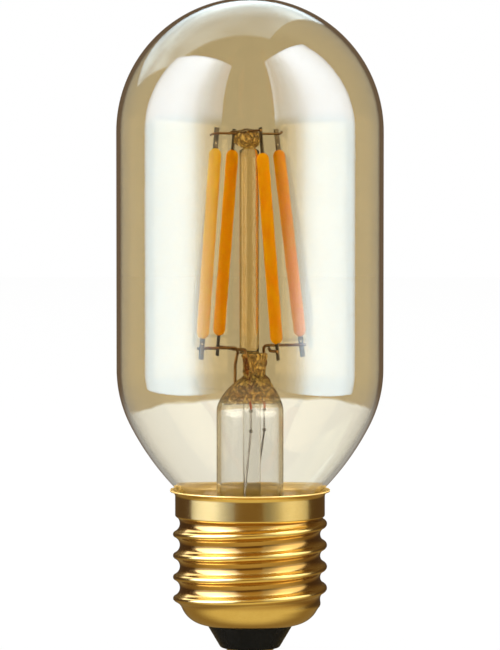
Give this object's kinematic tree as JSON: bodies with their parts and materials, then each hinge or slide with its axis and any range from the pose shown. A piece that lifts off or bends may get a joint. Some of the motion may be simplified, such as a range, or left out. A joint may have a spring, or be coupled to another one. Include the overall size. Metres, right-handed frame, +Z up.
{
  "type": "tubular light bulb",
  "caption": "Tubular filament lamp with a round dome, upright phosphor filaments on a glass stem, an amber inside coat and a gold-coloured round-thread screw cap",
  "frame": {"origin": "centre of the flat lowest face of the centre contact, on the lamp's axis", "axes": "+Z runs up the axis to the top of the dome, +X is to the right and -Y towards the viewer of the picture"},
  "size_m": [0.045, 0.045, 0.11],
  "materials": {
    "bulb_glass": "clear blown glass, amber coat inside the upper part",
    "stem_glass": "clear drawn glass",
    "phosphor": "orange phosphor in silicone, satin",
    "strip_ceramic": "unglazed white",
    "chip": "smooth",
    "tab_metal": "stamped, slightly brown",
    "arm_metal": "drawn wire, brown from the flame",
    "seal_wire": "red-brown copper cladding under glass",
    "lead_metal": "tinned wire",
    "cap_metal": "gold-coloured, glossy with rolling marks",
    "contact_metal": "pressed sheet",
    "insulator_black": "smooth black",
    "solder": "dull solder",
    "cement": "baked cement",
    "board": "green board",
    "package": "moulded black",
    "capacitor_can": "dark sleeve",
    "resistor_body": "dull lacquer"
  },
  "bodies": {
    "root": {"branch_wire_left": "arm_metal", "branch_wire_right": "arm_metal", "cap_cement": "cement", "centre_contact": "contact_metal", "centre_pillar": "stem_glass", "centre_wire": "lead_metal", "chips_a": "chip", "chips_b": "chip", "chips_c": "chip", "chips_d": "chip", "coat_a": "phosphor", "coat_b": "phosphor", "coat_c": "phosphor", "coat_d": "phosphor", "contact_solder": "solder", "driver_board": "board", "driver_chip": "package", "exhaust_tube": "stem_glass", "foot_tab_a": "tab_metal", "foot_tab_b": "tab_metal", "foot_tab_c": "tab_metal", "foot_tab_d": "tab_metal", "fuse_resistor": "resistor_body", "glass_envelope": "bulb_glass", "head_tab_a": "tab_metal", "head_tab_b": "tab_metal", "head_tab_c": "tab_metal", "head_tab_d": "tab_metal", "insulator": "insulator_black", "lead_wire_left": "arm_metal", "lead_wire_right": "arm_metal", "outer_lead_left": "lead_metal", "outer_lead_right": "lead_metal", "rectifier": "package", "screw_shell": "cap_metal", "seal_wire_left": "seal_wire", "seal_wire_right": "seal_wire", "shell_wire": "lead_metal", "smoothing_capacitor": "capacitor_can", "stem_tube": "stem_glass", "strip_a": "strip_ceramic", "strip_b": "strip_ceramic", "strip_c": "strip_ceramic", "strip_d": "strip_ceramic", "top_wire_inner": "arm_metal", "top_wire_outer": "arm_metal"}
  },
  "joints": []
}
